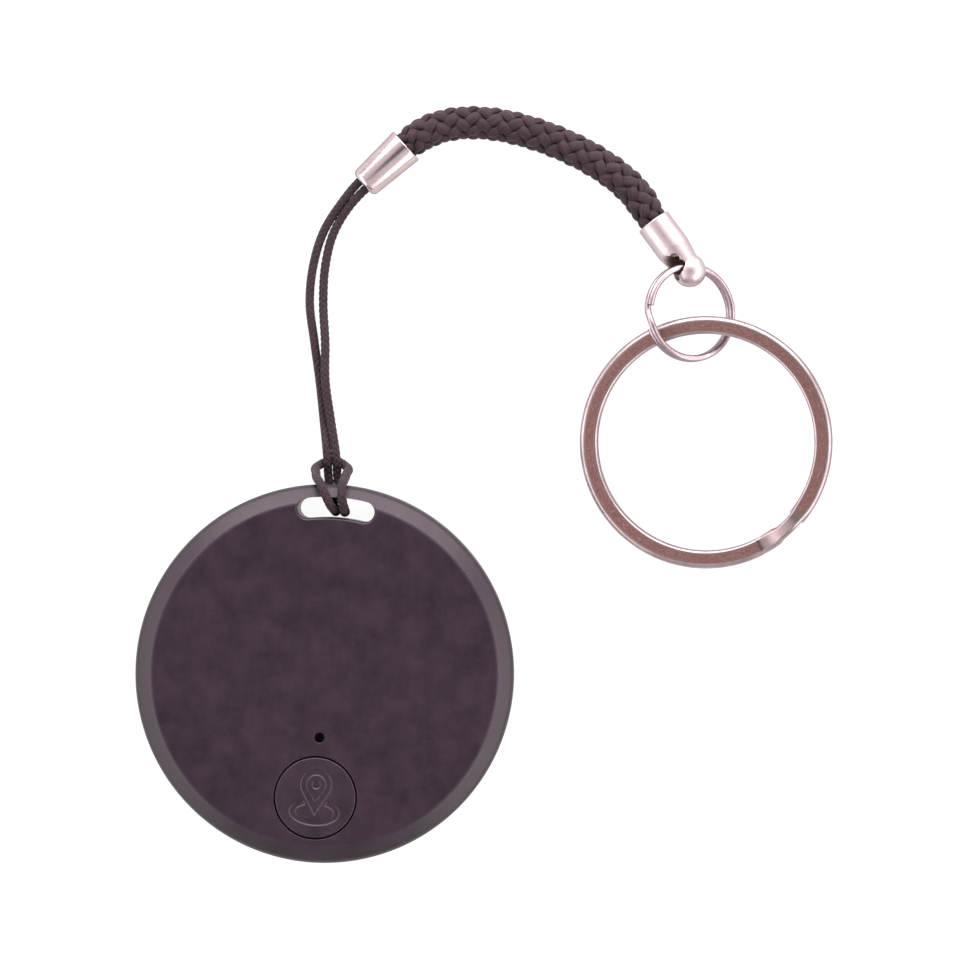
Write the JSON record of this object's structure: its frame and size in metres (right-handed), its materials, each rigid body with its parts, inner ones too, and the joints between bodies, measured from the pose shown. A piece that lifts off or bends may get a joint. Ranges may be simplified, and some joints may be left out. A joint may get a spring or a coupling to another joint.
{
  "type": "bluetooth tracker tag",
  "caption": "Round tracker tag with a find button and lanyard slot, on a cord loop, a braided strap, a link ring and a split key ring.",
  "frame": {"origin": "centre of the disc on its back face, which lies on the table", "axes": "+Z out of the face, +Y from the disc's centre to the lanyard slot, +X to the right seen from the face"},
  "size_m": [0.067, 0.0757, 0.009],
  "materials": {
    "shell_plastic": "fine moulded grain, satin",
    "button_plastic": "fine moulded grain, satin",
    "dark_plastic": "moulded",
    "board": "solder mask on glass fibre board",
    "steel": "stamped",
    "cell_steel": "nickel plated",
    "gasket": "moulded nylon",
    "ceramic": "fired",
    "led": "clear encapsulation",
    "brass": "stamped sheet",
    "wire": "insulation",
    "cord_fabric": "fine braided polyester cord",
    "strap_fabric": "round braid of eight flat strands",
    "nickel": "bright nickel plate",
    "ring_steel": "nickel-plated flat wire"
  },
  "bodies": {
    "tag": {"front_shell": "shell_plastic", "switch_base": "steel", "circuit_board": "board", "bluetooth_chip": "dark_plastic", "crystal": "steel", "chip_antenna": "ceramic", "status_led": "led", "passives": "ceramic", "positive_contact": "brass", "negative_contact": "brass", "buzzer_plate": "brass", "buzzer_ceramic": "ceramic", "buzzer_wires": "wire"},
    "button": {"find_button": "button_plastic", "switch_plunger": "dark_plastic"},
    "cover": {"rear_cover": "shell_plastic", "cell_can": "cell_steel", "cell_cap": "cell_steel", "cell_gasket": "gasket"},
    "lanyard": {"loop_cord": "cord_fabric", "crimp_cap": "nickel", "braided_strap": "strap_fabric", "eyelet_cap": "nickel"},
    "link": {"small_ring": "nickel"},
    "keys": {"key_ring": "ring_steel"}
  },
  "joints": [
    {"name": "button_press", "type": "slide", "parent": "tag", "child": "button", "axis": [0, 0, -1], "range_m": [0, 0.0003], "stiffness_N_per_m": 1500, "springref_m": -0.0002},
    {"name": "body_lift", "type": "slide", "parent": "cover", "child": "tag", "axis": [0, 0, 1], "range_m": [0, 0.012]},
    {"name": "lanyard_lift", "type": "hinge", "parent": "tag", "child": "lanyard", "pos_m": [-0.0011, 0.0216, 0.0013], "axis": [1, 0, 0], "range_deg": [0, 95], "deforming": ["loop_cord"]},
    {"name": "small_ring_swing", "type": "hinge", "parent": "lanyard", "child": "link", "pos_m": [0.03304, 0.04263, 0.00241], "axis": [-0.9032, -0.0497, 0.4263], "range_deg": [0, 90]},
    {"name": "key_ring_swing", "type": "hinge", "parent": "link", "child": "keys", "pos_m": [0.03056, 0.03453, 0.00227], "axis": [-0.8989, -0.4319, -0.074], "range_deg": [0, 100]}
  ]
}
